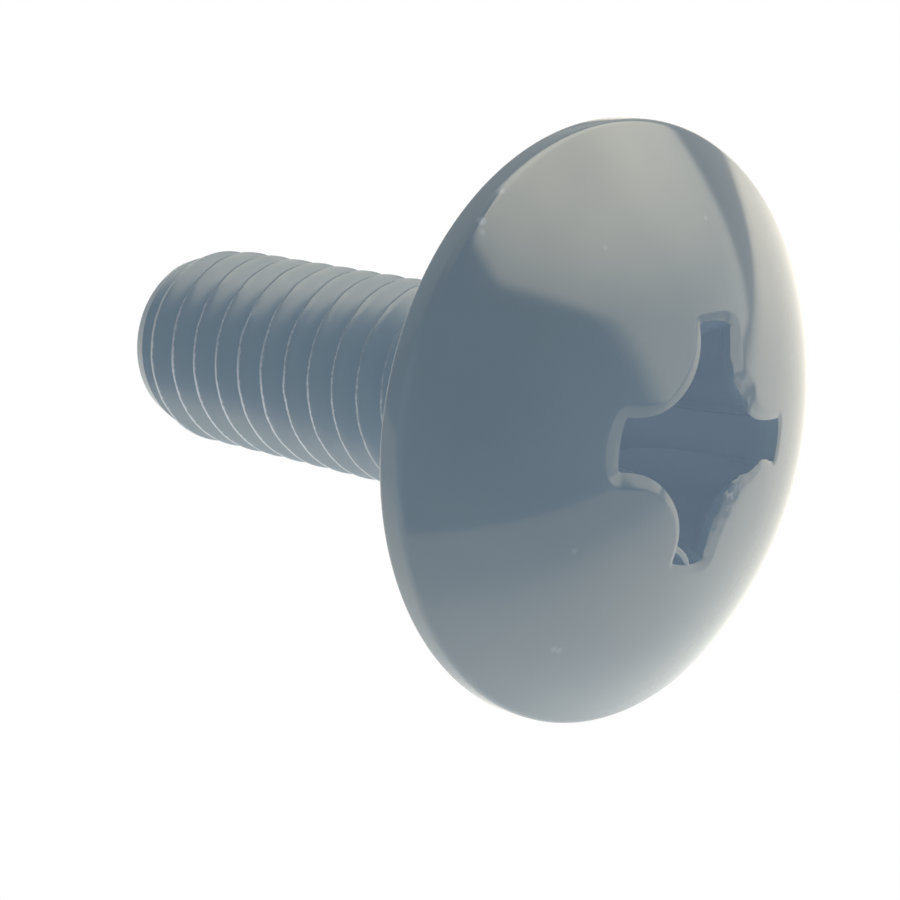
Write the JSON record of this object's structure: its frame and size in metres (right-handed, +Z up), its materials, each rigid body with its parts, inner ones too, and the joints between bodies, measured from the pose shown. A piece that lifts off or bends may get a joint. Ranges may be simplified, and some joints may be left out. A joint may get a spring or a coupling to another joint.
{
  "type": "mushroom head machine screw",
  "caption": "Machine screw with a wide, thin, domed head, a cross recess for a driver and a metric thread over its shank, lying on its side.",
  "frame": {"origin": "centre of the footprint, on the surface that the screw lies on", "axes": "+X along the screw's length on the floor, from the end of the shank towards the head; +Z up; the screw's own axis leans up from +X by about 18 degrees"},
  "size_m": [0.0206, 0.0158, 0.0152],
  "materials": {
    "dark_passivated_steel": "dark slate blue passivated layer on steel, softly glossy"
  },
  "bodies": {
    "root": {"screw": "dark_passivated_steel"}
  },
  "joints": []
}
